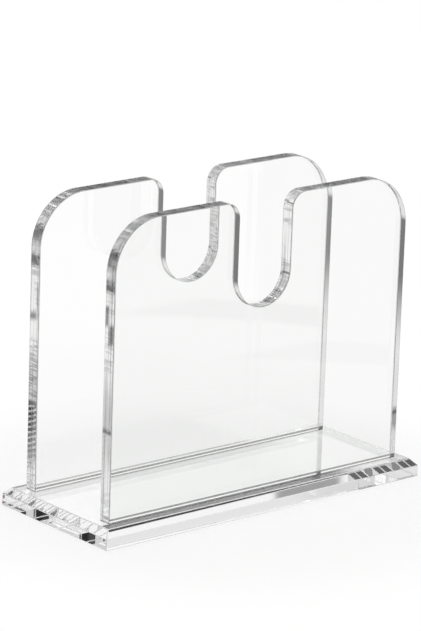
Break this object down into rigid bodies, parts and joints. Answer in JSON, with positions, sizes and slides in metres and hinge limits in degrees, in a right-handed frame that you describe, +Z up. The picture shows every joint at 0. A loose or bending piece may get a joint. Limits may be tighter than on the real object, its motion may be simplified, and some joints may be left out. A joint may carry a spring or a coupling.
{
  "type": "napkin holder",
  "caption": "Clear acrylic upright napkin holder: bevelled base plate carrying two parallel panels with rounded corners and a finger notch each.",
  "frame": {"origin": "centre of the underside of the base plate, on the table", "axes": "+X along the panels, -Y towards the front, +Z up"},
  "size_m": [0.17, 0.07, 0.133],
  "materials": {
    "clear_base_acrylic": "clear, polished, with fine wear on the top",
    "clear_panel_acrylic": "clear, with flame-polished edges"
  },
  "bodies": {
    "root": {"base_plate": "clear_base_acrylic", "front_panel": "clear_panel_acrylic", "back_panel": "clear_panel_acrylic"}
  },
  "joints": []
}
